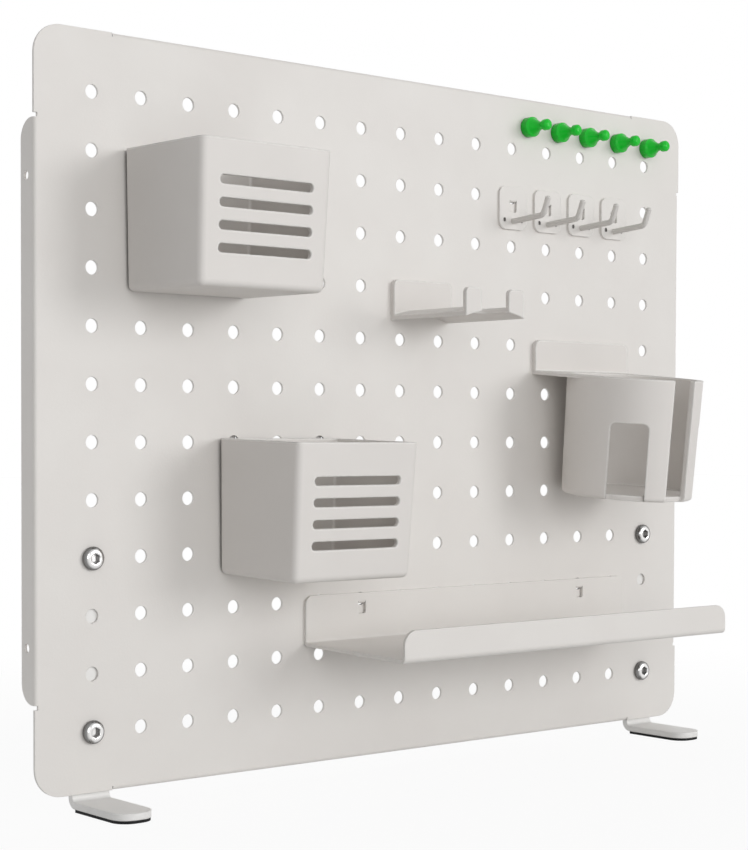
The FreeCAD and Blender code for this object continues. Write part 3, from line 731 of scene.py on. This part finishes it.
@dataclass
class Foot:
    """One desk foot with its pad, screws and nuts."""

    side: Side

    def dress(self, wardrobe: Wardrobe) -> None:
        """Coats the bracket, and makes the screws and nuts.

        Args:
            wardrobe: Finishes and nodes of the part.
        """
        side = self.side.value
        wardrobe.dress(f"{side}_foot", FOOT_COAT)
        wardrobe.dress(f"{side}_foot_pad", RUBBER)
        for level in ("upper", "lower"):
            Screw(f"{side}_{level}_screw").build(wardrobe)
            Nut(f"{side}_{level}_nut").build(wardrobe)


@dataclass
class Mouldings:
    """The bins, the headset rest and the cup holder."""

    names: tuple[str, ...] = ("upper_bin", "lower_bin", "headset_rest", "cup_holder")

    def dress(self, wardrobe: Wardrobe) -> None:
        """Gives each moulding its textured plastic."""
        for name in self.names:
            wardrobe.dress(name, PLASTIC)


@dataclass
class Tray:
    """The folded tray."""

    node: str = "tray"

    def dress(self, wardrobe: Wardrobe) -> None:
        """Coats the tray like the board."""
        wardrobe.dress(self.node, COAT)


@dataclass
class Hook:
    """One wire hook on its plate."""

    number: int

    def dress(self, wardrobe: Wardrobe) -> None:
        """Coats plate and wire."""
        wardrobe.dress(f"hook_plate_{self.number}", COAT)
        wardrobe.dress(f"hook_wire_{self.number}", SHADED_WIRE_COAT)


@dataclass
class Pin:
    """One push-pin magnet: a turned grip with a round knob on a waist. Sizes in millimetres.

    Each of the corners is a radius, a distance out from the sheet and a rounding radius.
    """

    number: int
    points: int = 56
    corners: tuple[Point, ...] = (
        (4.05, 1.9, 0.0), (4.05, 0.0, 0.0), (5.2, 0.0, 0.25), (5.2, 4.4, 0.6), (4.3, 5.2, 0.5),
        (2.2, 9.0, 1.6), (1.95, 11.2, 0.7), (2.9, 12.4, 0.9), (2.9, 15.0, 1.2), (1.6, 16.2, 1.2),
        (0.2, 16.2, 0.0))

    def dress(self, wardrobe: Wardrobe) -> None:
        """Turns the grip in green plastic and gives the disc its plating.

        Args:
            wardrobe: Finishes and nodes of the part.
        """
        node = f"pin_grip_{self.number}"
        low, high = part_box(node)
        rings = [circle(radius, out, self.points) for radius, out in rounded(self.corners)]
        piece = skin(node + "_detail", rings)
        piece.location = ((low.x + high.x) / 2, high.y, (low.z + high.z) / 2)
        wardrobe.fit(piece, GREEN, node)
        wardrobe.dress(f"pin_magnet_{self.number}", MAGNET)


@dataclass(frozen=True)
class Lamp:
    """One soft area lamp aimed at a point."""

    name: str
    place: Point
    aim: Point
    width: float
    power: float

    def light(self) -> None:
        """Places the lamp."""
        data = bpy.data.lights.new(self.name, "AREA")
        data.shape = "DISK"
        data.size = self.width
        data.energy = self.power
        lamp = bpy.data.objects.new(self.name, data)
        lamp.location = self.place
        lamp.rotation_euler = (Vector(self.aim) - Vector(self.place)).to_track_quat("-Z", "Y").to_euler()
        bpy.context.scene.collection.objects.link(lamp)
        LOG.info("lamp %s at %s", self.name, self.place)


@dataclass
class Studio:
    """White surroundings, pale floor, lamps and camera.

    Each of the walls is the number of an axis and how much light comes from its far end, or with a minus sign
    from its near end. Sizes in metres, the camera's turn in degrees, its sensor and lens in millimetres.
    """

    walls: tuple[tuple[int, float], ...] = ((1, -0.72), (1, 1.27), (2, 0.21))
    lamps: tuple[Lamp, ...] = (
        Lamp("key", (2.25, -3.82, 1.07), (0.0, 0.0, 0.17), 1.95, 53.0),
        Lamp("fill", (-1.10, -2.66, 0.62), (0.0, 0.0, 0.17), 1.6, 17.0))
    floor_size: float = 12.0
    floor_colour: Colour = (0.7, 0.7, 0.7)
    floor_roughness: float = 0.8
    floor_fade: Span = (0.25, 0.6)
    floor_glow: float = 0.93
    camera_place: Point = (-0.62677, -0.69257, 0.16461)
    camera_turn: Point = (88.36606, -0.18253, -40.14363)
    sensor: float = 36.0
    lens: float = 81.742
    shift: Span = (-0.0020, 0.0775)
    nearest: float = 0.01

    def white_to_eye(self, graph: Graph) -> Socket:
        """Tells the rays that see the surroundings from those that light the object.

        Args:
            graph: Nodes of the world or the material.

        Returns:
            1 for rays from the camera, off gloss or through glass, and 0 for the rest.
        """
        path = graph.add("LightPath")
        seen = graph.maths("MAXIMUM", path.outputs["Is Camera Ray"], path.outputs["Is Glossy Ray"])
        return graph.maths("MAXIMUM", seen, path.outputs["Is Transmission Ray"])

    def surround(self) -> None:
        """Makes the white world, whose front wall, back wall and ceiling light the object softly."""
        world = bpy.data.worlds.new("surround")
        world.use_nodes = True
        bpy.context.scene.world = world
        world.node_tree.nodes.clear()
        graph = Graph(world.node_tree)
        way = graph.add("SeparateXYZ", Vector=graph.add("TexCoord").outputs["Generated"])
        light = 0.0
        for axis, strength in self.walls:
            part = graph.maths("MAXIMUM", graph.maths("MULTIPLY", way.outputs[axis], strength), 0.0)
            light = graph.maths("ADD", light, part)
        soft = graph.add("Background", Color=WHITE, Strength=light)
        white = graph.add("Background", Color=WHITE, Strength=1.0)
        mix = graph.add("MixShader", Fac=self.white_to_eye(graph), in_1=soft.outputs[0],
                        in_2=white.outputs[0])
        graph.add("OutputWorld", Surface=mix.outputs[0])

    def floor_material(self) -> bpy.types.Material:
        """Makes the floor pale and matt, fading to the white surroundings and nearly white to the eye.

        Returns:
            The material.
        """
        material = bpy.data.materials.new("floor")
        material.use_nodes = True
        graph = Graph(material.node_tree)
        shader = material.node_tree.nodes["Principled BSDF"]
        far = graph.vectors("LENGTH", graph.add("TexCoord").outputs["Object"]).outputs["Value"]
        graph.feed(shader, Base_Color=self.floor_colour, Roughness=self.floor_roughness,
                   Alpha=graph.spread(far, self.floor_fade, FALLING))
        glow = graph.add("Emission", Color=WHITE, Strength=1.0)
        seen = graph.maths("MULTIPLY", self.white_to_eye(graph), self.floor_glow)
        mix = graph.add("MixShader", Fac=seen, in_1=shader.outputs[0], in_2=glow.outputs[0])
        graph.feed(material.node_tree.nodes["Material Output"], Surface=mix.outputs[0])
        return material

    def floor(self) -> None:
        """Lays the floor under the pads."""
        half = self.floor_size / 2
        mesh = bpy.data.meshes.new("floor")
        mesh.from_pydata([(-half, -half, 0), (half, -half, 0), (half, half, 0), (-half, half, 0)], [],
                         [(0, 1, 2, 3)])
        mesh.materials.append(self.floor_material())
        piece = bpy.data.objects.new("floor", mesh)
        bpy.context.scene.collection.objects.link(piece)

    def camera(self) -> None:
        """Puts the camera at the photographer's place."""
        data = bpy.data.cameras.new("camera")
        data.sensor_width = self.sensor
        data.lens = self.lens
        data.shift_x, data.shift_y = self.shift
        data.clip_start = self.nearest
        eye = bpy.data.objects.new("camera", data)
        eye.location = self.camera_place
        eye.rotation_euler = Euler([math.radians(angle) for angle in self.camera_turn])
        bpy.context.scene.collection.objects.link(eye)
        bpy.context.scene.camera = eye
        bpy.context.scene.view_settings.view_transform = "Standard"

    def build(self) -> None:
        """Sets the whole studio."""
        self.surround()
        self.floor()
        for lamp in self.lamps:
            lamp.light()
        self.camera()


def main() -> None:
    """Loads the part, dresses every piece and sets the studio."""
    logging.basicConfig(level=logging.INFO, format="%(name)s: %(message)s")
    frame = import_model()
    wardrobe = Wardrobe(frame["nodes"])
    assemblies = [Board(), Foot(Side.LEFT), Foot(Side.RIGHT), Mouldings(), Tray()]
    assemblies += [Hook(number) for number in range(1, HOOKS + 1)]
    assemblies += [Pin(number) for number in range(1, PINS + 1)]
    for assembly in assemblies:
        assembly.dress(wardrobe)
    Studio().build()


if __name__ == "__main__":
    main()
